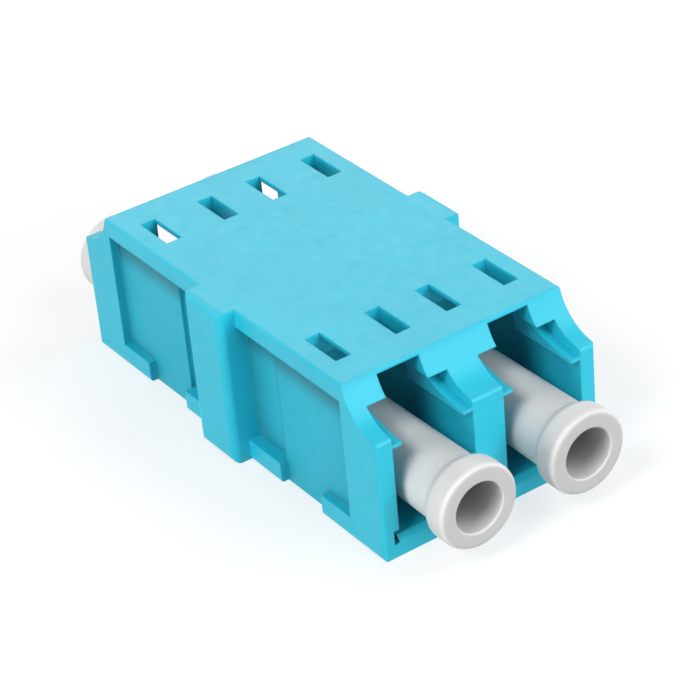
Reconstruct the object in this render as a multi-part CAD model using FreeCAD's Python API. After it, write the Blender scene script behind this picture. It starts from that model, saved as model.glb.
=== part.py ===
import FreeCAD, Part
import math
import os

from FreeCAD import Vector

# Duplex LC fibre adapter without flange: one moulded housing with two plug ports at each end,
# a band round its middle that stops it in a panel, two ceramic alignment sleeves inside, each
# trapped by a retainer, and four push-in dust caps. Millimetres.
# +X is the width, +Y runs from the front ports to the rear ports, +Z is up. The origin is the
# centre of the underside. The front and rear halves of the outside mirror each other.

# --- driving dimensions ----------------------------------------------------------------------

# Ports
PORT_PITCH = 6.25           # between the axes of the two channels
PORT_WIDTH = 4.5            # clear width for the body of an LC plug
PLUG_BODY = 4.42            # side of the plug's square body
AXIS_HEIGHT = 3.3           # optical axis above the underside
PLUG_PLAY = 0.08            # under and over the plug's body

# Housing
OUTER_WALL = 0.87           # of a port, left and right
BODY_LENGTH = 25.2
TOP_WALL = 1.2
TOP_SPACE = 1.64            # height of the latch room, over the plug's body
EDGE_RADIUS = 0.15          # rounding of the body's outer edges
SCOOP_LENGTH = 2.45         # how far each end's upper edge is set back
SCOOP_DEPTH = 2.0           # how deep that set-back is cut at the end face
SCOOP_HOLLOW = 0.46         # how far its curve dips below a straight slope
SCOOP_FOOT_RADIUS = 0.2     # rounding where the curve meets the end face

# Band round the middle
BAND_LENGTH = 3.1
BAND_STEP = 0.9             # how far it stands out on each side
BAND_EDGE_RADIUS = 0.4      # rounding of its edges, softer than the rest

# Latch features over each port
SLOT_WIDTH = 2.34           # for the arm of the plug's latch
SLOT_SETBACK = 0.05         # from the top's edge to the slot's closed end
ROOF = 0.25                 # skin that closes the arm's channel behind the slot
EAR_GAP = 3.4               # between the two ears that hold the latch's shoulders
EAR_LENGTH = 4.2            # from the end face to the window behind an ear
EAR_ROOT = 0.4              # stretch of it, before the window, that joins the top wall
EAR_LUG_SPACE = 0.26        # under the ears, over the plug's play, for the latch's shoulders
EAR_TIP = 0.17              # thickness of an ear at the end face
EAR_HOLLOW = 0.27           # how far its upper side dips below a straight slope
WINDOW_WIDTH = 0.85
WINDOW_LENGTH = 2.5
WINDOW_SPACING = 3.35       # between the two windows of a port

# Mouth of a port
LEAD_IN = 0.3               # chamfer along the floor's edge
RELIEF_WIDTH = 0.3          # pocket at the foot of each side wall
RELIEF_HEIGHT = 0.75
RELIEF_DEPTH = 0.8

# Recesses in the outer sides, for the fingers of a mounting clip
RECESS_DEPTH = 0.4
RECESS_TOP_LIP = 0.95
RECESS_BOTTOM_LIP = 1.1
END_FRAME = 2.65            # from the end face to the recess
POCKET_LENGTH = 2.65        # deeper stretch beside the band
POCKET_EXTRA = 0.2
RUN_OUT_LENGTH = 3.4        # stretch where the lower lip is left out

# Inner block with the sleeve seats
BLOCK_LENGTH = 8.6
SLEEVE_LENGTH = 6.5
SLEEVE_OD = 1.6
FERRULE_OD = 1.25
SLEEVE_SLIT = 0.22
SLEEVE_PLAY = 0.03          # radial, round the sleeve
SLEEVE_END_PLAY = 0.1       # at each end of the sleeve
FERRULE_PLAY = 0.05         # radial, where a guide's funnel meets the sleeve
GUIDE_OD = 2.5
GUIDE_REACH = 1.6           # of a guide, out of the inner block
GUIDE_LIP = 0.3             # wall left at a guide's tip, round the mouth of its funnel
RETAINER_OD = 3.4
RETAINER_PLAY = 0.02        # radial, in the block's counterbore
RETAINER_DEPTH = 4.0        # of its plug in the counterbore
RETAINER_FLANGE_OD = 4.1
RETAINER_FLANGE = 0.4
RETAINER_END_PLAY = 0.1     # between its plug and the counterbore's floor

# Dust cap
CAP_BARREL_OD = 3.5
CAP_TAPER = 0.1             # how much thinner the radius is at the inner end
CAP_COLLAR_OD = 4.3
CAP_COLLAR_LENGTH = 1.2
CAP_SHOULDER = 0.25         # length of the cone between barrel and collar
CAP_REACH = 3.2             # of the cap, out of the housing
CAP_END_GAP = 0.3           # from the cap's inner end to the retainer's flange
CAP_BORE_PLAY = 0.05        # radial, round the guide
CAP_INNER_DEPTH = 3.4       # of the bore over the guide
CAP_OUTER_HOLE = 2.6        # diameter of the blind hole in the outer end
CAP_OUTER_DEPTH = 5.2
CAP_EDGE = 0.15             # rounding of the collar's edges

# --- derived sizes -----------------------------------------------------------------------------

BODY_WIDTH = PORT_PITCH + PORT_WIDTH + 2 * OUTER_WALL
BAND_WIDTH = BODY_WIDTH + 2 * BAND_STEP
FLOOR_TOP = AXIS_HEIGHT - PLUG_BODY / 2 - PLUG_PLAY
PLUG_TOP = AXIS_HEIGHT + PLUG_BODY / 2 + PLUG_PLAY
EAR_UNDERSIDE = PLUG_TOP + EAR_LUG_SPACE
ROOM_TOP = PLUG_TOP + TOP_SPACE
BODY_HEIGHT = ROOM_TOP + TOP_WALL
CHANNEL_TOP = BODY_HEIGHT - ROOF

END_FACE = BODY_LENGTH / 2
TOP_EDGE = END_FACE - SCOOP_LENGTH
SLOT_END = TOP_EDGE + SLOT_SETBACK
WINDOW_FRONT = END_FACE - EAR_LENGTH
WINDOW_REAR = WINDOW_FRONT - WINDOW_LENGTH
BLOCK_FACE = BLOCK_LENGTH / 2
BAND_FACE = BAND_LENGTH / 2
GUIDE_TIP = BLOCK_FACE + GUIDE_REACH
SLEEVE_SEAT = SLEEVE_LENGTH / 2 + SLEEVE_END_PLAY
SLEEVE_SEAT_RADIUS = SLEEVE_OD / 2 + SLEEVE_PLAY
FUNNEL_NECK = FERRULE_OD / 2 + FERRULE_PLAY
FUNNEL_MOUTH = GUIDE_OD / 2 - GUIDE_LIP

CAP_TIP = BLOCK_FACE + RETAINER_FLANGE + CAP_END_GAP
CAP_END = END_FACE + CAP_REACH
CAP_BORE_RADIUS = GUIDE_OD / 2 + CAP_BORE_PLAY

OVERCUT = 1.0               # how far a cut runs past an open face


# --- helpers -----------------------------------------------------------------------------------

def box(x, y, z):
    """Block between the given (low, high) pairs."""
    corner = Vector(x[0], y[0], z[0])
    return Part.makeBox(x[1] - x[0], y[1] - y[0], z[1] - z[0], corner)


def prism_x(points, x):
    """Polygon of (y, z) points, extruded between two x values."""
    ring = [Vector(x[0], y, z) for y, z in points + points[:1]]
    return Part.Face(Part.makePolygon(ring)).extrude(Vector(x[1] - x[0], 0, 0))


def hollow_prism(start, end, dip, rest, x):
    """Prism between two x values. Its outline is an arc that dips below the line from the
    start point to the end point, then runs straight through the rest and back to the start.
    Points are (y, z), and the way from start to end leads forward and down.
    """
    along, drop = end[0] - start[0], end[1] - start[1]
    length = math.hypot(along, drop)
    middle = ((start[0] + end[0]) / 2 - dip * drop / length,
              (start[1] + end[1]) / 2 + dip * along / length)
    arc = [Vector(x[0], y, z) for y, z in (start, middle, end)]
    way = [Vector(x[0], y, z) for y, z in [end] + rest + [start]]
    edges = [Part.Arc(*arc).toShape(), Part.makePolygon(way)]
    return Part.Face(Part.Wire(edges)).extrude(Vector(x[1] - x[0], 0, 0))


def cylinder_y(radius, y, at=0.0):
    """Round bar along Y on the optical axis of the channel at x = at."""
    base = Vector(at, y[0], AXIS_HEIGHT)
    return Part.makeCylinder(radius, y[1] - y[0], base, Vector(0, 1, 0))


def revolve_y(points):
    """Closed (y, radius) outline, turned about the optical axis of a channel at x = 0."""
    ring = [Vector(0, y, AXIS_HEIGHT + r) for y, r in points + points[:1]]
    face = Part.Face(Part.makePolygon(ring))
    return face.revolve(Vector(0, 0, AXIS_HEIGHT), Vector(0, 1, 0), 360)


def rounded_slab(width, depth, height, radius, axis):
    """Block on z = 0, centred in X and Y, whose four edges along the given axis are rounded."""
    slab = box((-width / 2, width / 2), (-depth / 2, depth / 2), (0, height))
    along = [e for e in slab.Edges if abs(e.tangentAt(0).dot(axis)) > 0.99]
    return slab.makeFillet(radius, along)


def soft_block(width, depth, height, radius):
    """Block on z = 0 whose upright edges and edges along Y are rounded."""
    across = rounded_slab(width, depth, height, radius, Vector(0, 1, 0))
    upright = rounded_slab(width, depth, height, radius, Vector(0, 0, 1))
    return across.common(upright)


def mirror_y(shape):
    """The same shape at the other end of the adapter."""
    return shape.mirror(Vector(0, 0, 0), Vector(0, 1, 0))


def mirror_x(shape):
    """The same shape on the other side of the adapter."""
    return shape.mirror(Vector(0, 0, 0), Vector(1, 0, 0))


def channel_positions():
    """x of the left and the right channel."""
    return {"left": -PORT_PITCH / 2, "right": PORT_PITCH / 2}


# --- housing -----------------------------------------------------------------------------------

def scoop():
    """Hollow curve that sets back the upper edge of the front end, with a rounded foot."""
    x = (-BODY_WIDTH / 2 - OVERCUT, BODY_WIDTH / 2 + OVERCUT)
    end = -END_FACE
    foot = BODY_HEIGHT - SCOOP_DEPTH
    low = foot - SCOOP_FOOT_RADIUS
    high = BODY_HEIGHT + OVERCUT
    curve_end = (end + SCOOP_FOOT_RADIUS, foot)
    around = [(end - OVERCUT, foot), (end - OVERCUT, high), (-TOP_EDGE, high)]
    curve = hollow_prism((-TOP_EDGE, BODY_HEIGHT), curve_end, SCOOP_HOLLOW, around, x)
    corner = box(x, (end - OVERCUT, end + SCOOP_FOOT_RADIUS), (low, foot))
    centre = Vector(x[0], end + SCOOP_FOOT_RADIUS, low)
    rounding = Part.makeCylinder(SCOOP_FOOT_RADIUS, x[1] - x[0], centre, Vector(1, 0, 0))
    return curve.fuse(corner.cut(rounding))


def outer_form():
    """Outside of the moulding: the body with scooped ends, and the band round its middle."""
    body = soft_block(BODY_WIDTH, BODY_LENGTH, BODY_HEIGHT, EDGE_RADIUS)
    body = body.cut([scoop(), mirror_y(scoop())])
    band = soft_block(BAND_WIDTH, BAND_LENGTH, BODY_HEIGHT, BAND_EDGE_RADIUS)
    return body.fuse(band)


def side_recess():
    """What is cut from the left side in front of the band: a sunk panel for a clip's finger."""
    outside = -BODY_WIDTH / 2 - OVERCUT
    floor = -BODY_WIDTH / 2 + RECESS_DEPTH
    front = -END_FACE + END_FRAME
    pocket = -BAND_FACE - POCKET_LENGTH
    upper = BODY_HEIGHT - RECESS_TOP_LIP
    panel = box((outside, floor), (front, -BAND_FACE), (RECESS_BOTTOM_LIP, upper))
    deeper = box((outside, floor + POCKET_EXTRA), (pocket, -BAND_FACE), (RECESS_BOTTOM_LIP, upper))
    run_out = box((outside, floor), (pocket - RUN_OUT_LENGTH, pocket),
                  (-OVERCUT, RECESS_BOTTOM_LIP + OVERCUT))
    return panel.fuse([deeper, run_out])


def port_bay():
    """Room for the plug and its latch in a front port whose axis is at x = 0."""
    mouth = -END_FACE - OVERCUT
    port = (-PORT_WIDTH / 2, PORT_WIDTH / 2)
    gap = (-EAR_GAP / 2, EAR_GAP / 2)
    ear_root = (-WINDOW_FRONT - EAR_ROOT, ROOM_TOP)
    ear_tip = (-END_FACE, EAR_UNDERSIDE + EAR_TIP)
    ahead = [(mouth, ear_tip[1]), (mouth, ROOM_TOP)]
    return [
        box(port, (mouth, -BLOCK_FACE), (FLOOR_TOP, EAR_UNDERSIDE)),
        box(port, (-WINDOW_FRONT, -BLOCK_FACE), (FLOOR_TOP, ROOM_TOP)),
        box(gap, (mouth, -BLOCK_FACE), (FLOOR_TOP, ROOM_TOP)),
        hollow_prism(ear_root, ear_tip, EAR_HOLLOW, ahead, port),
    ]


def latch_cuts():
    """Channel, slot and windows of the latch, over a front port whose axis is at x = 0."""
    mouth = -END_FACE - OVERCUT
    arm = (-SLOT_WIDTH / 2, SLOT_WIDTH / 2)
    outer = (WINDOW_SPACING + WINDOW_WIDTH) / 2
    inner = (WINDOW_SPACING - WINDOW_WIDTH) / 2
    rear = -WINDOW_REAR
    front = -WINDOW_FRONT
    low = ROOM_TOP - OVERCUT / 2
    high = BODY_HEIGHT + OVERCUT
    return [
        box(arm, (mouth, rear), (low, CHANNEL_TOP)),
        box(arm, (mouth, -SLOT_END), (low, high)),
        box((-outer, outer), (front, rear), (low, CHANNEL_TOP)),
        box((-outer, -inner), (front, rear), (low, high)),
        box((inner, outer), (front, rear), (low, high)),
    ]


def mouth_cuts():
    """Lead-in along the floor's edge and the pockets at the foot of the walls."""
    port = (-PORT_WIDTH / 2, PORT_WIDTH / 2)
    end = -END_FACE
    chamfer = [(end - OVERCUT, FLOOR_TOP - LEAD_IN - OVERCUT), (end + LEAD_IN, FLOOR_TOP),
               (end - OVERCUT, FLOOR_TOP)]
    reach = PORT_WIDTH / 2 + RELIEF_WIDTH
    height = (FLOOR_TOP - LEAD_IN, FLOOR_TOP - LEAD_IN + RELIEF_HEIGHT)
    depth = (end - OVERCUT, end + RELIEF_DEPTH)
    foot = box((-reach, reach), depth, height)
    between = box((-PORT_WIDTH / 2, PORT_WIDTH / 2), depth, height)
    return [prism_x(chamfer, port), foot.cut(between)]


def guide():
    """Outside of the tube that guides a ferrule, in a front port whose axis is at x = 0."""
    return cylinder_y(GUIDE_OD / 2, (-GUIDE_TIP, -BLOCK_FACE))


def sleeve_seat():
    """Stepped bore of a channel at x = 0: ferrule funnel, sleeve seat, retainer counterbore."""
    funnel = revolve_y([
        (-GUIDE_TIP - OVERCUT, 0),
        (-GUIDE_TIP - OVERCUT, FUNNEL_MOUTH),
        (-GUIDE_TIP, FUNNEL_MOUTH),
        (-SLEEVE_SEAT, FUNNEL_NECK),
        (-SLEEVE_SEAT + OVERCUT, FUNNEL_NECK),
        (-SLEEVE_SEAT + OVERCUT, 0),
    ])
    seat = cylinder_y(SLEEVE_SEAT_RADIUS, (-SLEEVE_SEAT, BLOCK_FACE + OVERCUT))
    counterbore = cylinder_y(RETAINER_OD / 2 + RETAINER_PLAY,
                             (BLOCK_FACE - RETAINER_DEPTH - RETAINER_END_PLAY,
                              BLOCK_FACE + OVERCUT))
    return [funnel, seat, counterbore]


def make_housing():
    """The whole moulding, as one solid."""
    recess = side_recess()
    left = recess.fuse(mirror_y(recess))
    cuts = [left, mirror_x(left)]
    guides = []
    bay = port_bay() + latch_cuts() + mouth_cuts()
    room = bay[0].fuse(bay[1:])
    both_ends = [room, mirror_y(room)]
    for x in channel_positions().values():
        for end in both_ends:
            cuts.append(end.translated(Vector(x, 0, 0)))
    shape = outer_form().cut(cuts)
    for x in channel_positions().values():
        guides.append(guide().translated(Vector(x, 0, 0)))
    shape = shape.fuse(guides)
    bores = []
    for x in channel_positions().values():
        bores += [bore.translated(Vector(x, 0, 0)) for bore in sleeve_seat()]
    return shape.cut(bores).removeSplitter()


# --- inner pieces --------------------------------------------------------------------------------

def make_sleeve():
    """Split ceramic sleeve at x = 0, with the slit facing up."""
    half = SLEEVE_LENGTH / 2
    tube = cylinder_y(SLEEVE_OD / 2, (-half, half))
    tube = tube.cut(cylinder_y(FERRULE_OD / 2, (-half - OVERCUT, half + OVERCUT)))
    slit = box((-SLEEVE_SLIT / 2, SLEEVE_SLIT / 2), (-half - OVERCUT, half + OVERCUT),
               (AXIS_HEIGHT, AXIS_HEIGHT + SLEEVE_OD))
    return tube.cut(slit)


def make_retainer():
    """Turned bush at x = 0 that closes the sleeve's seat from the rear and guides a ferrule."""
    inner = BLOCK_FACE - RETAINER_DEPTH
    flange = BLOCK_FACE + RETAINER_FLANGE
    outline = [
        (inner, SLEEVE_SEAT_RADIUS),
        (inner, RETAINER_OD / 2),
        (BLOCK_FACE, RETAINER_OD / 2),
        (BLOCK_FACE, RETAINER_FLANGE_OD / 2),
        (flange, RETAINER_FLANGE_OD / 2),
        (flange, GUIDE_OD / 2),
        (GUIDE_TIP, GUIDE_OD / 2),
        (GUIDE_TIP, FUNNEL_MOUTH),
        (SLEEVE_SEAT, FUNNEL_NECK),
        (SLEEVE_SEAT, SLEEVE_SEAT_RADIUS),
    ]
    return revolve_y(outline)


# --- dust caps -----------------------------------------------------------------------------------

def make_cap():
    """Dust cap of a front port whose axis is at x = 0, pushed home."""
    collar = CAP_COLLAR_OD / 2
    barrel = CAP_BARREL_OD / 2
    collar_back = -CAP_END + CAP_COLLAR_LENGTH
    lean = 1 - math.sqrt(0.5)
    outline = [
        (-CAP_END, CAP_OUTER_HOLE / 2),
        (-CAP_END, collar - CAP_EDGE),
        (-CAP_END + CAP_EDGE * lean, collar - CAP_EDGE * lean),
        (-CAP_END + CAP_EDGE, collar),
        (collar_back, collar),
        (collar_back + CAP_SHOULDER, barrel),
        (-CAP_TIP, barrel - CAP_TAPER),
        (-CAP_TIP, CAP_BORE_RADIUS),
        (-CAP_TIP - CAP_INNER_DEPTH, CAP_BORE_RADIUS),
        (-CAP_TIP - CAP_INNER_DEPTH, 0),
        (-CAP_END + CAP_OUTER_DEPTH, 0),
        (-CAP_END + CAP_OUTER_DEPTH, CAP_OUTER_HOLE / 2),
    ]
    return revolve_y(outline)


# --- all nodes -----------------------------------------------------------------------------------

def make_nodes():
    """Every separate piece in its place, by name."""
    nodes = {"housing": make_housing()}
    cap = make_cap()
    for side, x in channel_positions().items():
        place = Vector(x, 0, 0)
        nodes["alignment_sleeve_" + side] = make_sleeve().translated(place)
        nodes["sleeve_retainer_" + side] = make_retainer().translated(place)
        nodes["front_" + side + "_cap"] = cap.translated(place)
        nodes["rear_" + side + "_cap"] = mirror_y(cap).translated(place)
    return nodes


def main():
    os.makedirs("parts", exist_ok=True)
    for name, shape in make_nodes().items():
        shape.exportStep("parts/" + name + ".step")
        print(name, len(shape.Solids), "solid", round(shape.Volume, 2), "mm3", shape.isValid())


main()
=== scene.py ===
# %% [markdown]
# # A duplex fibre adapter, dressed for the camera
#
# The adapter is a small block of aqua plastic, about 14 x 25 x 8 mm, with two plug ports in
# each end and a grey dust cap pushed into each port. Its measured solids come in as a fixed
# frame. What is added here is everything that the solids can't say: the finish of each
# plastic, softly turned dust caps, the light and the camera.
#
# The frame stands on z = 0. +X is its width, and the ports open towards -Y and +Y.

# %% Load the frame
import math

import bpy
import numpy as np
from mathutils import Matrix, Vector


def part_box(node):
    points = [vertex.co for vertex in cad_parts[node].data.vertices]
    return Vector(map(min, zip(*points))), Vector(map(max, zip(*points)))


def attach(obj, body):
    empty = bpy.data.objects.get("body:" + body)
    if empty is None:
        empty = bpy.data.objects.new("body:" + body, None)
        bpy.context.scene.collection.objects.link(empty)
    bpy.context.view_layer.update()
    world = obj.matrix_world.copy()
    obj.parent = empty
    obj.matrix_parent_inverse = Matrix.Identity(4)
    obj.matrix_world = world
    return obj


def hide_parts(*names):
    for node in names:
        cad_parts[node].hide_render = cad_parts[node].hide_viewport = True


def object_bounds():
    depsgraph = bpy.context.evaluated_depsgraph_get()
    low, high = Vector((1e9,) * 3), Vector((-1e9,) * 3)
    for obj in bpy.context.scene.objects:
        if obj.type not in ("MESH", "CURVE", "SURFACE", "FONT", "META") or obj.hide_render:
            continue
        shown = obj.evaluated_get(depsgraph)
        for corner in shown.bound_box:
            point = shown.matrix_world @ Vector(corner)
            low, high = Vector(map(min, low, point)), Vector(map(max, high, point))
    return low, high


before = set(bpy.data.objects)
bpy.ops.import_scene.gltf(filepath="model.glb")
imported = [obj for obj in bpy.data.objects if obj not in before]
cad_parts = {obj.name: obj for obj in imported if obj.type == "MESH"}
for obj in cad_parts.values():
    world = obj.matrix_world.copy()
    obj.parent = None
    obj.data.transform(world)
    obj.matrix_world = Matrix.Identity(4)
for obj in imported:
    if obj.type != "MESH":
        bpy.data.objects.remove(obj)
cad_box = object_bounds()

MM = 0.001
for name in sorted(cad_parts):
    low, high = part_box(name)
    size = [round((b - a) / MM, 2) for a, b in zip(low, high)]
    print("frame piece", name, "measures", size, "mm")

# %% [markdown]
# ## A small tool kit for materials
#
# A node material is a graph. These helpers keep the graph readable: one adds a node and sets
# its sockets by name, one joins two sockets, and one starts a material whose patterns follow
# the object's own coordinates, so that they stay on the plastic when a cap moves.

# %% Helpers for node graphs
def add_node(tree, kind, **settings):
    """A node of the given kind. Settings name its sockets in lower case, or its properties."""
    node = tree.nodes.new(kind)
    sockets = {s.name.lower().replace(" ", "_"): s for s in node.inputs}
    for key, value in settings.items():
        if key in sockets:
            sockets[key].default_value = value
        else:
            setattr(node, key, value)
    return node


def join(tree, source, output, target, entry):
    """Joins an output of one node to an input of another, each by its name or its number."""
    tree.links.new(source.outputs[output], target.inputs[entry])


def new_material(name):
    """An empty node material: itself, its tree, its Principled shader and its coordinates."""
    material = bpy.data.materials.new(name)
    material.use_nodes = True
    tree = material.node_tree
    tree.nodes.clear()
    output = add_node(tree, "ShaderNodeOutputMaterial")
    shader = add_node(tree, "ShaderNodeBsdfPrincipled")
    place = add_node(tree, "ShaderNodeTexCoord")
    join(tree, shader, "BSDF", output, "Surface")
    return material, tree, shader, place


# %% [markdown]
# ## Patterns
#
# Real plastic and ceramic are never quite even. Each finish below gets its unevenness from
# noise of a chosen size, which drives the colour, the gloss or a fine relief. An image could
# do the same, but noise has no seams and stays sharp however near the camera comes.

# %% Noise and what it drives
# Most of what a noise texture gives lies between these two values.
NOISE_LOW = 0.3
NOISE_HIGH = 0.7
# A colour ramp reaches its two colours at these values, a little further in.
RAMP_START = 0.35
RAMP_END = 0.65


def noise(tree, place, size, detail, roughness=0.5):
    """Noise whose blobs are about `size` metres across, on the object's own coordinates."""
    node = add_node(tree, "ShaderNodeTexNoise", scale=1.0 / size, detail=detail,
                    roughness=roughness)
    join(tree, place, "Object", node, "Vector")
    return node


def stretched_noise(tree, place, size, stretch, detail):
    """Noise that is drawn out along each axis whose factor in `stretch` is below 1."""
    drawn_out = add_node(tree, "ShaderNodeMapping")
    drawn_out.inputs["Scale"].default_value = stretch
    join(tree, place, "Object", drawn_out, "Vector")
    node = add_node(tree, "ShaderNodeTexNoise", scale=1.0 / size, detail=detail)
    join(tree, drawn_out, "Vector", node, "Vector")
    return node


def drifting_colour(tree, pattern, colour, darkest, lightest):
    """A colour that wanders with a noise pattern between two multiples of itself."""
    node = add_node(tree, "ShaderNodeValToRGB")
    stops = node.color_ramp.elements
    stops[0].position = RAMP_START
    stops[1].position = RAMP_END
    stops[0].color = (*(colour * darkest), 1.0)
    stops[1].color = (*(colour * lightest), 1.0)
    join(tree, pattern, "Fac", node, "Fac")
    return node


def relief(tree, pattern, strength, height):
    """Raises the surface by up to `height` metres with a pattern, for the shading alone."""
    node = add_node(tree, "ShaderNodeBump", strength=strength, distance=height)
    join(tree, pattern, "Fac", node, "Height")
    return node


# %% [markdown]
# ## Values
#
# The finishes also need a little arithmetic: a value mapped from one range to another, the
# size of a value whatever its sign, the parts of a vector, and a colour made darker without
# a change of hue. Mapping a noise value gives a roughness that varies.

# %% Arithmetic for node graphs
def mapped(tree, source, output, start, end, low, high, way="LINEAR"):
    """A value that is `low` where the source is at most `start`, and `high` from `end` on."""
    node = add_node(tree, "ShaderNodeMapRange", interpolation_type=way)
    node.inputs["From Min"].default_value = start
    node.inputs["From Max"].default_value = end
    node.inputs["To Min"].default_value = low
    node.inputs["To Max"].default_value = high
    join(tree, source, output, node, "Value")
    return node


def varied(tree, pattern, low, high):
    """A value that wanders with a noise pattern from `low` to `high`."""
    return mapped(tree, pattern, "Fac", NOISE_LOW, NOISE_HIGH, low, high)


def part_of(tree, source, output, axis):
    """How long a vector's X, Y or Z part is, whatever its sign."""
    parts = add_node(tree, "ShaderNodeSeparateXYZ")
    join(tree, source, output, parts, "Vector")
    length = add_node(tree, "ShaderNodeMath", operation="ABSOLUTE")
    join(tree, parts, axis, length, 0)
    return length


def scaled(tree, colour, output, factor, factor_output):
    """A colour times a value."""
    node = add_node(tree, "ShaderNodeVectorMath", operation="SCALE")
    join(tree, colour, output, node, "Vector")
    join(tree, factor, factor_output, node, "Scale")
    return node


# %% [markdown]
# ## Painted shade inside openings
#
# Soft light from all round creeps into small openings, and a deep port starts to look
# shallow. Blender's Ambient Occlusion node measures how closed in a point is, from the
# piece's own shape. That value scales the colour as painted shade, which keeps ports,
# windows and inner corners dark and leaves open faces as they are. It is a choice for the
# eye, and not something that the plastic does by itself.

# %% Paint shade where a point is closed in
OPENNESS_RAYS = 8


def with_painted_shade(tree, colour, output, reach, closed_in, start, end):
    """Colour darkened with painted shade by how open a point is, from 0, walled in within `reach`,
    to 1, free.

    The factor is `closed_in` where that openness is at most `start`, and 1 from `end` on.
    """
    openness = add_node(tree, "ShaderNodeAmbientOcclusion", samples=OPENNESS_RAYS,
                        only_local=True, distance=reach)
    factor = mapped(tree, openness, "AO", start, end, closed_in, 1.0)
    return scaled(tree, colour, output, factor, "Result")


# %% [markdown]
# ## The sunken side panels
#
# Each side of the housing has shallow recesses, in which the fingers of a mounting clip lie.
# To read as sunken in soft light too, their panels get painted shade, a little darker than
# the faces round them, and a painted shadow that is darkest close under their upper lip.
# They are also a little duller. No mask painted in an image is needed: a panel is told from
# the rest by how deep it lies and which way it faces, and the way to the lip is the height.

# %% Find and tone the side panels
BAND_STEP = 0.9 * MM
PANEL_DEPTH = 0.4 * MM
PANEL_LEVEL = 1.2 * PANEL_DEPTH
PANEL_LEEWAY = 0.6 * PANEL_DEPTH
LEAST_SIDEWAYS = 0.7
# Painted shade darkens the panels, and a painted shadow darkens them most just under their upper
# lip.
PANEL_SHADE_FACTOR = 0.86
LIP_SHADOW_FACTOR = 0.42
LIP_HEIGHT = 0.95 * MM
LIP_SHADOW_START = 1.75 * MM
LIP_SHADOW_END = 0.50 * MM


def panel_mask(tree, place):
    """1 on the sunken panels of the two sides, 0 elsewhere.

    A point counts if its depth below the outer side differs from PANEL_LEVEL by at most
    PANEL_LEEWAY, which takes in the panels and the deeper pockets beside the band, and if
    the sideways part of its normal is over LEAST_SIDEWAYS.
    """
    low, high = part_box("housing")
    outer_side = (high[0] - low[0]) / 2 - BAND_STEP
    off_middle = part_of(tree, place, "Object", "X")
    deep = add_node(tree, "ShaderNodeMath", operation="COMPARE")
    deep.inputs[1].default_value = outer_side - PANEL_LEVEL
    deep.inputs[2].default_value = PANEL_LEEWAY
    join(tree, off_middle, "Value", deep, 0)
    surface = add_node(tree, "ShaderNodeNewGeometry")
    across = part_of(tree, surface, "True Normal", "X")
    sideways = add_node(tree, "ShaderNodeMath", operation="GREATER_THAN")
    sideways.inputs[1].default_value = LEAST_SIDEWAYS
    join(tree, across, "Value", sideways, 0)
    both = add_node(tree, "ShaderNodeMath", operation="MULTIPLY")
    join(tree, deep, "Value", both, 0)
    join(tree, sideways, "Value", both, 1)
    return both


def panel_painted_shade(tree, place):
    """Painted shade of the panels, darkening smoothly with height to a painted shadow just
    under the upper lip.

    The lip is LIP_HEIGHT below the top. The painted shadow starts 1.75 mm below the lip and
    is at its darkest 0.5 mm below it.
    """
    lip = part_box("housing")[1][2] - LIP_HEIGHT
    height = part_of(tree, place, "Object", "Z")
    return mapped(tree, height, "Value", lip - LIP_SHADOW_START, lip - LIP_SHADOW_END,
                  PANEL_SHADE_FACTOR, LIP_SHADOW_FACTOR, way="SMOOTHSTEP")


# %% [markdown]
# ## Aqua moulded plastic
#
# The housing is injection moulded. The steel mould is spark-eroded, which leaves a fine,
# even grain on the plastic: too fine to see one by one, but it spreads reflections into a
# satin sheen. The colour is mixed into the plastic, so it hardly varies; what the eye reads
# as real is a slow drift of a few percent where the melt flowed, and edges that catch light
# because no moulded edge is razor sharp. A Bevel node rounds edges for the shading alone,
# and the grain goes on top of it as bump.

# %% Values of the housing's finish
AQUA = np.array((0.014, 0.500, 0.665))
AQUA_DRIFT = {"darkest": 0.96, "lightest": 1.03}
DRIFT_SIZE = 3.5 * MM
SATIN_SIZE = 0.6 * MM
SATIN_ROUGHNESS = {"low": 0.40, "high": 0.50}
PANEL_ROUGHER = 0.12
GRAIN_SIZE = 0.09 * MM
GRAIN_RELIEF = {"strength": 0.25, "height": 0.008 * MM}
EDGE_SOFTNESS = 0.10 * MM
EDGE_RAYS = 6
# Painted shade: darker inner corners on the side panels, and dark ports and windows.
CORNER_SHADE = {"reach": 2.0 * MM, "closed_in": 0.55, "start": 0.60, "end": 0.98}
PORT_SHADE = {"reach": 6.0 * MM, "closed_in": 0.06, "start": 0.03, "end": 0.24}
HOUSING_IOR = 1.52
HOUSING_SPECULAR = 0.45
# A Mix node has one set of sockets for each kind of data. These are its colour sockets.
MIX_FIRST = 6
MIX_SECOND = 7
MIX_RESULT = 2


# %% Material of the housing
def housing_colour(tree, place, on_panel):
    """Drifting aqua, with painted shade on the side panels and painted shade in ports and windows.
    """
    drift = noise(tree, place, DRIFT_SIZE, detail=3.0)
    colour = drifting_colour(tree, drift, AQUA, **AQUA_DRIFT)
    corner_shaded = with_painted_shade(tree, colour, "Color", **CORNER_SHADE)
    panel = scaled(tree, corner_shaded, "Vector", panel_painted_shade(tree, place), "Result")
    sides = add_node(tree, "ShaderNodeMix", data_type="RGBA")
    join(tree, on_panel, "Value", sides, "Factor")
    join(tree, colour, "Color", sides, MIX_FIRST)
    join(tree, panel, "Vector", sides, MIX_SECOND)
    return with_painted_shade(tree, sides, MIX_RESULT, **PORT_SHADE)


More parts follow.
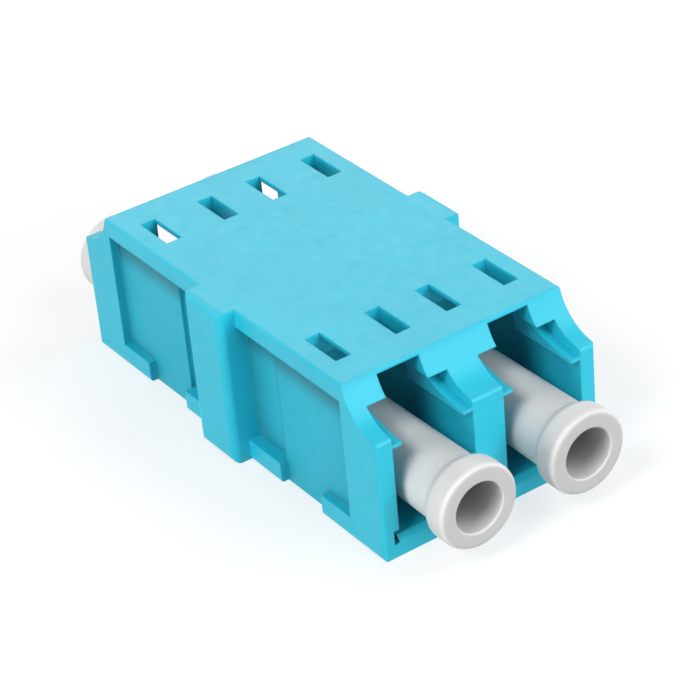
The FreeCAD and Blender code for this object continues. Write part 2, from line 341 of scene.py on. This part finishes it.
def make_housing_plastic():
    """Aqua plastic with slow colour drift, satin grain and softened edges."""
    material, tree, shader, place = new_material("aqua_moulded_plastic")
    on_panel = panel_mask(tree, place)
    join(tree, housing_colour(tree, place, on_panel), "Vector", shader, "Base Color")
    satin = noise(tree, place, SATIN_SIZE, detail=4.0)
    gloss = varied(tree, satin, **SATIN_ROUGHNESS)
    duller = add_node(tree, "ShaderNodeMath", operation="MULTIPLY_ADD")
    duller.inputs[1].default_value = PANEL_ROUGHER
    join(tree, on_panel, "Value", duller, 0)
    join(tree, gloss, "Result", duller, 2)
    join(tree, duller, "Value", shader, "Roughness")
    edges = add_node(tree, "ShaderNodeBevel", samples=EDGE_RAYS, radius=EDGE_SOFTNESS)
    grain = relief(tree, noise(tree, place, GRAIN_SIZE, detail=3.0, roughness=0.6), **GRAIN_RELIEF)
    join(tree, edges, "Normal", grain, "Normal")
    join(tree, grain, "Normal", shader, "Normal")
    shader.inputs["IOR"].default_value = HOUSING_IOR
    shader.inputs["Specular IOR Level"].default_value = HOUSING_SPECULAR
    return material


housing_plastic = make_housing_plastic()
print("made", housing_plastic.name, "in", len(housing_plastic.node_tree.nodes), "nodes")

# %% [markdown]
# ## Soft grey plastic of the dust caps
#
# Dust caps are moulded in soft polyethylene. It is a little waxy: light enters it and comes
# out nearby, so shadows inside the hole are grey and not black. Subsurface scattering over
# a fraction of a millimetre gives that look. Fine lines run along the cap, where it slid
# out of its mould. Its end faces carry painted shade, a little greyer than its round sides,
# so that the ring round the hole stands out, and painted shade darkens the inside of its holes.

# %% Values of the caps' finish
CAP_GREY = np.array((0.70, 0.70, 0.695))
CAP_DRIFT = {"darkest": 0.97, "lightest": 1.02}
CAP_DRIFT_SIZE = 1.8 * MM
# Painted shade: a cap's end faces, which face along its axis, are drawn darker than its sides.
END_FACE_SHADE = 0.72
SIDE_FACING = 0.70
END_FACING = 0.98
# Painted shade inside the caps' holes, from how closed in a point is.
CAP_SHADE = {"reach": 4.0 * MM, "closed_in": 0.42, "start": 0.02, "end": 0.34}
DRAW_LINE_SIZE = 0.16 * MM
DRAW_LINE_STRETCH = (1.0, 0.06, 1.0)
DRAW_LINE_RELIEF = {"strength": 0.2, "height": 0.01 * MM}
CAP_ROUGHNESS = {"low": 0.42, "high": 0.54}
CAP_IOR = 1.51
WAX_WEIGHT = 0.12
WAX_RADIUS = (1.0, 0.95, 0.9)
WAX_SCALE = 0.3 * MM


# %% Material of the dust caps
def end_face_painted_shade(tree):
    """Painted shade: 1 on the round sides of a cap, falling to the end-face factor where it faces
    along its axis, Y.
    """
    surface = add_node(tree, "ShaderNodeNewGeometry")
    along = part_of(tree, surface, "Normal", "Y")
    return mapped(tree, along, "Value", SIDE_FACING, END_FACING, 1.0, END_FACE_SHADE,
                  way="SMOOTHSTEP")


def make_cap_plastic():
    """Waxy light grey plastic with faint draw lines along the cap's axis."""
    material, tree, shader, place = new_material("waxy_grey_plastic")
    drift = noise(tree, place, CAP_DRIFT_SIZE, detail=3.0)
    colour = drifting_colour(tree, drift, CAP_GREY, **CAP_DRIFT)
    end_shaded = scaled(tree, colour, "Color", end_face_painted_shade(tree), "Result")
    join(tree, with_painted_shade(tree, end_shaded, "Vector", **CAP_SHADE), "Vector", shader, "Base Color")
    lines = stretched_noise(tree, place, DRAW_LINE_SIZE, DRAW_LINE_STRETCH, detail=3.0)
    join(tree, varied(tree, lines, **CAP_ROUGHNESS), "Result", shader, "Roughness")
    join(tree, relief(tree, lines, **DRAW_LINE_RELIEF), "Normal", shader, "Normal")
    shader.inputs["IOR"].default_value = CAP_IOR
    shader.inputs["Subsurface Weight"].default_value = WAX_WEIGHT
    shader.inputs["Subsurface Radius"].default_value = WAX_RADIUS
    shader.inputs["Subsurface Scale"].default_value = WAX_SCALE
    return material


cap_plastic = make_cap_plastic()
print("made", cap_plastic.name, "in", len(cap_plastic.node_tree.nodes), "nodes")

# %% [markdown]
# ## Inner pieces: turned bushes and ceramic sleeves
#
# Deep in each port sits a natural-coloured plastic bush, and inside it a split sleeve of
# zirconia, an ivory ceramic that is ground to size and polished. Little of them shows, but
# someone who pulls a cap and looks in meets exactly these two. The ceramic is smooth, with
# hair-fine grinding rings round its axis.

# %% Material of the bushes
NATURAL = np.array((0.55, 0.58, 0.58))
NATURAL_DRIFT = {"darkest": 0.94, "lightest": 1.04}
MOTTLE_SIZE = 0.8 * MM
BUSH_ROUGHNESS = {"low": 0.38, "high": 0.48}
BUSH_IOR = 1.52


def make_bush_plastic():
    """Plain natural plastic with a faint mottle."""
    material, tree, shader, place = new_material("natural_plastic")
    mottle = noise(tree, place, MOTTLE_SIZE, detail=3.0)
    colour = drifting_colour(tree, mottle, NATURAL, **NATURAL_DRIFT)
    join(tree, colour, "Color", shader, "Base Color")
    join(tree, varied(tree, mottle, **BUSH_ROUGHNESS), "Result", shader, "Roughness")
    shader.inputs["IOR"].default_value = BUSH_IOR
    return material


bush_plastic = make_bush_plastic()
print("made", bush_plastic.name, "in", len(bush_plastic.node_tree.nodes), "nodes")

# %% Material of the sleeves
IVORY = np.array((0.78, 0.74, 0.66))
IVORY_DRIFT = {"darkest": 0.97, "lightest": 1.02}
IVORY_DRIFT_SIZE = 0.9 * MM
RING_SIZE = 0.03 * MM
RING_STRETCH = (0.02, 1.0, 0.02)
RING_RELIEF = {"strength": 0.15, "height": 0.002 * MM}
CERAMIC_ROUGHNESS = {"low": 0.12, "high": 0.22}
CERAMIC_IOR = 2.1


def make_sleeve_ceramic():
    """Ground zirconia: glossy ivory with hair-fine rings round the axis."""
    material, tree, shader, place = new_material("ground_zirconia")
    drift = noise(tree, place, IVORY_DRIFT_SIZE, detail=2.0)
    colour = drifting_colour(tree, drift, IVORY, **IVORY_DRIFT)
    join(tree, colour, "Color", shader, "Base Color")
    rings = stretched_noise(tree, place, RING_SIZE, RING_STRETCH, detail=2.0)
    join(tree, varied(tree, rings, **CERAMIC_ROUGHNESS), "Result", shader, "Roughness")
    join(tree, relief(tree, rings, **RING_RELIEF), "Normal", shader, "Normal")
    shader.inputs["IOR"].default_value = CERAMIC_IOR
    return material


sleeve_ceramic = make_sleeve_ceramic()
print("made", sleeve_ceramic.name, "in", len(sleeve_ceramic.node_tree.nodes), "nodes")

# %% [markdown]
# ## Put the finishes on the frame
#
# Each solid names a slot for its finish. The slots are filled here in one loop.

# %% Assign materials
FINISHES = {
    "housing_plastic": housing_plastic,
    "retainer_plastic": bush_plastic,
    "sleeve_ceramic": sleeve_ceramic,
    "cap_plastic": cap_plastic,
}
for name, piece in sorted(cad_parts.items()):
    for slot in piece.material_slots:
        slot.material = FINISHES[slot.name.split(".")[0]]
    print(name, "wears", [slot.material.name for slot in piece.material_slots])

# %% [markdown]
# ## A soft profile
#
# A dust cap is round, so its whole surface is one profile turned about an axis. A corner of
# the profile would catch no light if it were sharp, so each corner is first replaced by a
# short smooth curve. A Bevel modifier could round the edges as well. In the profile, each
# corner can have a softness of its own.

# %% Round the corners of a profile
SUPPORT = 0.05 * MM
CURVE_STEPS = 6


def soft_profile(corners, softness):
    """Rounds the inner corners of a profile of (along, radius) points.

    Each corner is replaced by a quadratic curve. It starts `softness` before the corner,
    ends as far after it, and is drawn towards it: (1-s)^2 start + 2s(1-s) corner + s^2 end.
    One more point on each side, SUPPORT away, keeps the straight runs flat in shading.
    """
    points = np.array(corners)
    soft = np.array(softness)[:, None]
    before, here, after = points[:-2], points[1:-1], points[2:]
    back = before - here
    on = after - here
    back = back / np.linalg.norm(back, axis=1, keepdims=True)
    on = on / np.linalg.norm(on, axis=1, keepdims=True)
    start = here + back * soft
    end = here + on * soft
    s = np.linspace(0.0, 1.0, CURVE_STEPS + 1)[None, :, None]
    pull = 2 * s * (1 - s) * here[:, None]
    curve = (1 - s) ** 2 * start[:, None] + pull + s ** 2 * end[:, None]
    lead = (start + back * SUPPORT)[:, None]
    tail = (end + on * SUPPORT)[:, None]
    rounded = np.concatenate([lead, curve, tail], axis=1).reshape(-1, 2)
    return np.vstack([points[:1], rounded, points[-1:]])


# %% [markdown]
# ## A lathe
#
# The lathe turns a profile into a surface of two parameters, the way along the profile and
# the angle. Blender's Screw modifier or Spin tool could turn it too. Working it out as one
# array keeps every radius of the cap readable in the code, and the mesh closed.

# %% Turn a profile into a mesh
SEGMENTS = 112


def turned_faces(rings):
    """Faces of a turned surface: quads between its rings, and a fan of triangles at each end.

    Ring r has the vertices r * SEGMENTS to (r + 1) * SEGMENTS - 1. The start's pole comes
    after the last ring, and the end's pole after that.
    """
    ring, step = np.meshgrid(np.arange(rings - 1), np.arange(SEGMENTS), indexing="ij")
    here = ring * SEGMENTS
    there = (ring + 1) * SEGMENTS
    turn = (step + 1) % SEGMENTS
    quads = np.stack([here + step, here + turn, there + turn, there + step], axis=-1)
    around = np.arange(SEGMENTS)
    following = (around + 1) % SEGMENTS
    pole = rings * SEGMENTS
    last = (rings - 1) * SEGMENTS
    start_fan = np.stack([np.full(SEGMENTS, pole), following, around], axis=-1)
    end_fan = np.stack([np.full(SEGMENTS, pole + 1), last + around, last + following], axis=-1)
    return quads.reshape(-1, 4).tolist() + start_fan.tolist() + end_fan.tolist()


def turned_mesh(name, profile):
    """Turns a profile of (along, radius) points, which starts and ends on the axis, about +Y.

    Point (along, radius) at angle a lies at (radius cos a, along, radius sin a), and each
    end of the profile is one vertex.
    """
    along, radius = profile[1:-1, 0], profile[1:-1, 1]
    angle = np.linspace(0.0, 2 * math.pi, SEGMENTS, endpoint=False)
    x = radius[:, None] * np.cos(angle)
    z = radius[:, None] * np.sin(angle)
    y = np.broadcast_to(along[:, None], x.shape)
    grid = np.stack([x, y, z], axis=-1).reshape(-1, 3)
    poles = np.array([[0.0, profile[0, 0], 0.0], [0.0, profile[-1, 0], 0.0]])
    points = np.vstack([grid, poles])
    mesh = bpy.data.meshes.new(name)
    mesh.from_pydata(points.tolist(), [], turned_faces(len(along)))
    return mesh


def enclosed_volume(mesh):
    """Volume inside a closed mesh, positive if its faces point outwards.

    It is a sixth of the sum, over all triangles, of a . (b x c) for the corners a, b and c.
    """
    mesh.calc_loop_triangles()
    count = len(mesh.loop_triangles)
    index = np.empty(count * 3, dtype=np.int32)
    mesh.loop_triangles.foreach_get("vertices", index)
    place = np.empty(len(mesh.vertices) * 3)
    mesh.vertices.foreach_get("co", place)
    a, b, c = np.moveaxis(place.reshape(-1, 3)[index.reshape(-1, 3)], 1, 0)
    return float(np.einsum("ij,ij->i", a, np.cross(b, c)).sum() / 6)


# %% [markdown]
# ## The dust caps
#
# A cap is a soft plug: a slightly tapered barrel that goes over the ferrule guide inside the
# port, and a collar outside for finger and thumb. Both ends are hollow, so that the wall is
# equally thick everywhere and shrinks evenly in the mould. The solids already have the cap's
# lengths and radii. What the finer piece adds is the softness of the real thing: the collar
# melts into the barrel in one sweep, and the rims are rounded enough to carry a highlight.

# %% Dust cap profile
COLLAR_LENGTH = 1.2 * MM
SHOULDER_LENGTH = 0.42 * MM
BARREL_RADIUS = 1.75 * MM
TIP_RADIUS = 1.65 * MM
HOLE_RADIUS = 1.3 * MM
OUTER_DEPTH = 5.2 * MM
INNER_DEPTH = 3.4 * MM

HOLE_EDGE_SOFT = 0.12 * MM
HOLE_FLOOR_SOFT = 0.35 * MM
COLLAR_FRONT_SOFT = 0.30 * MM
COLLAR_BACK_SOFT = 0.22 * MM
SHOULDER_SOFT = 0.20 * MM
TIP_SOFT = 0.14 * MM
BORE_FLOOR_SOFT = 0.30 * MM


def cap_profile(length, collar):
    """Half section of a cap, from the floor of its outer hole to the floor of its inner bore.

    `along` runs from the outer end, 0, to the inner end. Each row is along, radius and how
    softly that corner is rounded.
    """
    shoulder = COLLAR_LENGTH + SHOULDER_LENGTH
    bore_floor = length - INNER_DEPTH
    rows = np.array([
        (OUTER_DEPTH, 0.0, 0.0),
        (OUTER_DEPTH, HOLE_RADIUS, HOLE_FLOOR_SOFT),
        (0.0, HOLE_RADIUS, HOLE_EDGE_SOFT),
        (0.0, collar, COLLAR_FRONT_SOFT),
        (COLLAR_LENGTH, collar, COLLAR_BACK_SOFT),
        (shoulder, BARREL_RADIUS, SHOULDER_SOFT),
        (length, TIP_RADIUS, TIP_SOFT),
        (length, HOLE_RADIUS, HOLE_EDGE_SOFT),
        (bore_floor, HOLE_RADIUS, BORE_FLOOR_SOFT),
        (bore_floor, 0.0, 0.0),
    ])
    return soft_profile(rows[:, :2], rows[1:-1, 2])


def cap_size(node):
    """Lowest and highest corner of a cap solid, its length and its collar's radius."""
    low, high = (np.array(corner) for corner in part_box(node))
    return low, high, high[1] - low[1], (high[0] - low[0]) / 2


sample = cap_profile(*cap_size("front_left_cap")[2:])
print("cap profile:", len(sample), "points, radius up to", round(sample[:, 1].max() / MM, 3), "mm")

# %% [markdown]
# ## Four caps in their ports
#
# The front caps sit straight. The two at the rear hang by a third of a millimetre at their
# outer end, which is less than the room that they have in their ports. A tipped cap's collar
# would reach past the solid's end, so such a cap is made shorter by that reach. The place is
# worked into the mesh, and the object stays at the origin.

# %% Make the four caps
HANG = {"rear_left_cap": 0.36 * MM, "rear_right_cap": 0.33 * MM}
CAP_NAMES = [end + "_" + side + "_cap" for end in ("front", "rear") for side in ("left", "right")]


def cap_place(node, tilt, reach):
    """Matrix that carries a turned cap from the origin into its port.

    A front cap's outer end is its lowest along Y. A rear cap is turned half round Z, so
    that its outer end is its highest, and tipped by `tilt` about the point of its axis that
    lies `reach` further in than the solid's inner end.
    """
    low, high, length, _ = cap_size(node)
    centre = (low + high) / 2
    if node.startswith("front"):
        return Matrix.Translation((centre[0], low[1], centre[2]))
    pivot = Matrix.Translation((centre[0], low[1] - reach, centre[2]))
    tipped = Matrix.Rotation(-tilt, 4, "X") @ Matrix.Translation((0, length, 0))
    return pivot @ tipped @ Matrix.Rotation(math.pi, 4, "Z")


def make_cap(node):
    """Soft version of one cap solid: turned about the port's axis, tipped if it hangs."""
    _, _, length, collar = cap_size(node)
    tilt = math.asin(HANG.get(node, 0.0) / length)
    reach = collar * math.sin(tilt)
    mesh = turned_mesh(node + "_soft", cap_profile(length - reach, collar))
    mesh.transform(cap_place(node, tilt, reach))
    if enclosed_volume(mesh) < 0:
        mesh.flip_normals()
    mesh.shade_smooth()
    mesh.materials.append(cap_plastic)
    piece = bpy.data.objects.new(node + "_soft", mesh)
    bpy.context.collection.objects.link(piece)
    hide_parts(node)
    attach(piece, node)
    volume = enclosed_volume(mesh) / MM ** 3
    print(piece.name, len(mesh.polygons), "faces,", round(volume, 2), "mm3")


for node in CAP_NAMES:
    make_cap(node)

# %% [markdown]
# ## Floor
#
# The adapter stands on a sheet of pale paper that fills the view. To the camera, and in
# gloss and glass, the paper also gives off light of its own, so that it reads as white where
# nothing shades it and still keeps the object's soft shadow. To everything else it is only
# pale grey paper, which keeps the light from below as weak as it is in a studio.

# %% Paper floor
FLOOR_SIZE = 3.0
PAPER = 0.45
PAPER_GLOW = 0.60
WHITE = (1.0, 1.0, 1.0, 1.0)


def ray_is_seen(tree):
    """A node whose value is 1 for camera, glossy and transmission rays, and 0 for the rest."""
    rays = add_node(tree, "ShaderNodeLightPath")
    shown = add_node(tree, "ShaderNodeMath", operation="MAXIMUM")
    either = add_node(tree, "ShaderNodeMath", operation="MAXIMUM")
    join(tree, rays, "Is Camera Ray", shown, 0)
    join(tree, rays, "Is Glossy Ray", shown, 1)
    join(tree, shown, "Value", either, 0)
    join(tree, rays, "Is Transmission Ray", either, 1)
    return either


def make_paper():
    """Pale paper that looks white to the camera, and in gloss and glass."""
    material = bpy.data.materials.new("white_paper")
    material.use_nodes = True
    tree = material.node_tree
    tree.nodes.clear()
    output = add_node(tree, "ShaderNodeOutputMaterial")
    diffuse = add_node(tree, "ShaderNodeBsdfDiffuse", color=(PAPER, PAPER, PAPER, 1.0))
    glow = add_node(tree, "ShaderNodeEmission", color=WHITE)
    amount = add_node(tree, "ShaderNodeMath", operation="MULTIPLY")
    amount.inputs[1].default_value = PAPER_GLOW
    both = add_node(tree, "ShaderNodeAddShader")
    join(tree, ray_is_seen(tree), "Value", amount, 0)
    join(tree, amount, "Value", glow, "Strength")
    join(tree, diffuse, "BSDF", both, 0)
    join(tree, glow, "Emission", both, 1)
    join(tree, both, "Shader", output, "Surface")
    return material


def make_floor():
    """One flat square under the object."""
    half = FLOOR_SIZE / 2
    corners = [(-half, -half, 0.0), (half, -half, 0.0), (half, half, 0.0), (-half, half, 0.0)]
    mesh = bpy.data.meshes.new("paper_floor")
    mesh.from_pydata(corners, [], [(0, 1, 2, 3)])
    mesh.materials.append(make_paper())
    floor = bpy.data.objects.new("paper_floor", mesh)
    bpy.context.collection.objects.link(floor)
    return floor


make_floor()
print("paper floor,", FLOOR_SIZE, "m across")

# %% [markdown]
# ## Surroundings
#
# The world works in the same way as the paper: white where it is seen, and dim as a lamp.

# %% World
SKY_LIGHT = 0.03


def make_world():
    """Even white light from all round, shown as full white to camera, gloss and glass."""
    world = bpy.data.worlds.new("studio")
    world.use_nodes = True
    tree = world.node_tree
    tree.nodes.clear()
    output = add_node(tree, "ShaderNodeOutputWorld")
    light = add_node(tree, "ShaderNodeBackground", color=WHITE, strength=SKY_LIGHT)
    shown = add_node(tree, "ShaderNodeBackground", color=WHITE, strength=1.0)
    mix = add_node(tree, "ShaderNodeMixShader")
    join(tree, ray_is_seen(tree), "Value", mix, "Fac")
    join(tree, light, "Background", mix, 1)
    join(tree, shown, "Background", mix, 2)
    join(tree, mix, "Shader", output, "Surface")
    return world


bpy.context.scene.world = make_world()
print("the sky gives", SKY_LIGHT, "of full white")

# %% [markdown]
# ## Soft studio light
#
# Seven soft boxes stand round the object, each given by where it stands and how much light
# it throws. A large one in front shows the ports. A small one high at the left shapes that
# side, and a low one fills it. A weak one at the right and one behind lay a pale sheen on
# the curved ends and the top face. Two low fills keep the far end and the far side
# readable for someone who walks round the piece.

# %% Lights
LOWEST, HIGHEST = (Vector(corner) for corner in cad_box)
MIDDLE = (LOWEST + HIGHEST) / 2


def way_to(azimuth, elevation):
    """Unit vector from the object to a spot round it, both angles in degrees.

    The azimuth is 0 towards -Y and 90 towards +X, and the elevation is 90 straight up:
    (sin az cos el, -cos az cos el, sin el).
    """
    az = math.radians(azimuth)
    el = math.radians(elevation)
    return Vector((math.sin(az) * math.cos(el), -math.cos(az) * math.cos(el), math.sin(el)))


def softbox(name, azimuth, elevation, distance, size, share):
    """Square soft box. `share` is the light it lays on white paper facing it, 1 being full white.

    A lamp of P watts lays P / (pi d^2) on paper at distance d, and the paper sends back that
    over pi, so P is the share times pi squared times d squared.
    """
    away = way_to(azimuth, elevation)
    lamp = bpy.data.lights.new(name, "AREA")
    lamp.shape = "SQUARE"
    lamp.size = size
    lamp.energy = share * math.pi ** 2 * distance ** 2
    holder = bpy.data.objects.new(name, lamp)
    holder.location = MIDDLE + away * distance
    holder.rotation_euler = away.to_track_quat("Z", "Y").to_euler()
    bpy.context.collection.objects.link(holder)
    print(name, "throws", round(lamp.energy, 3), "W from", round(distance, 2), "m")


softbox("front_softbox", azimuth=8, elevation=16, distance=0.40, size=0.24, share=0.68)
softbox("right_softbox", azimuth=42, elevation=43, distance=0.40, size=0.20, share=0.28)
softbox("left_softbox", azimuth=-70, elevation=45, distance=0.40, size=0.14, share=0.44)
softbox("low_softbox", azimuth=-88, elevation=10, distance=0.40, size=0.16, share=0.46)
softbox("back_softbox", azimuth=148, elevation=33, distance=0.45, size=0.25, share=0.22)
softbox("rear_fill", azimuth=-172, elevation=14, distance=0.45, size=0.25, share=0.34)
softbox("side_fill", azimuth=95, elevation=12, distance=0.45, size=0.25, share=0.36)

# %% [markdown]
# ## Camera
#
# The camera looks down on the front left corner from about 13 cm through a long lens, so
# the adapter's edges stay almost parallel, and it is turned a few degrees about its own
# axis.

# %% Camera
CAMERA_AZIMUTH = -32.56
CAMERA_ELEVATION = 32.31
CAMERA_ROLL = -5.40
CAMERA_DISTANCE = 129.26 * MM
CAMERA_AIM = Vector((0.288, -1.034, 3.145)) * MM
FOCAL_LENGTH = 136.17
SENSOR_WIDTH = 36.0
NEAREST_SEEN = 0.005
FARTHEST_SEEN = 20.0


def place_camera():
    """Camera at an azimuth and elevation round the aim, rolled about its line of sight."""
    away = way_to(CAMERA_AZIMUTH, CAMERA_ELEVATION)
    lens = bpy.data.cameras.new("camera")
    lens.lens = FOCAL_LENGTH
    lens.sensor_width = SENSOR_WIDTH
    lens.clip_start = NEAREST_SEEN
    lens.clip_end = FARTHEST_SEEN
    camera = bpy.data.objects.new("camera", lens)
    level = away.to_track_quat("Z", "Y").to_matrix().to_4x4()
    roll = Matrix.Rotation(math.radians(CAMERA_ROLL), 4, "Z")
    camera.matrix_world = Matrix.Translation(CAMERA_AIM + away * CAMERA_DISTANCE) @ level @ roll
    bpy.context.collection.objects.link(camera)
    return camera


bpy.context.scene.camera = place_camera()
bpy.context.scene.view_settings.view_transform = "Standard"
print("camera stands", round(CAMERA_DISTANCE / MM, 1), "mm from its aim")
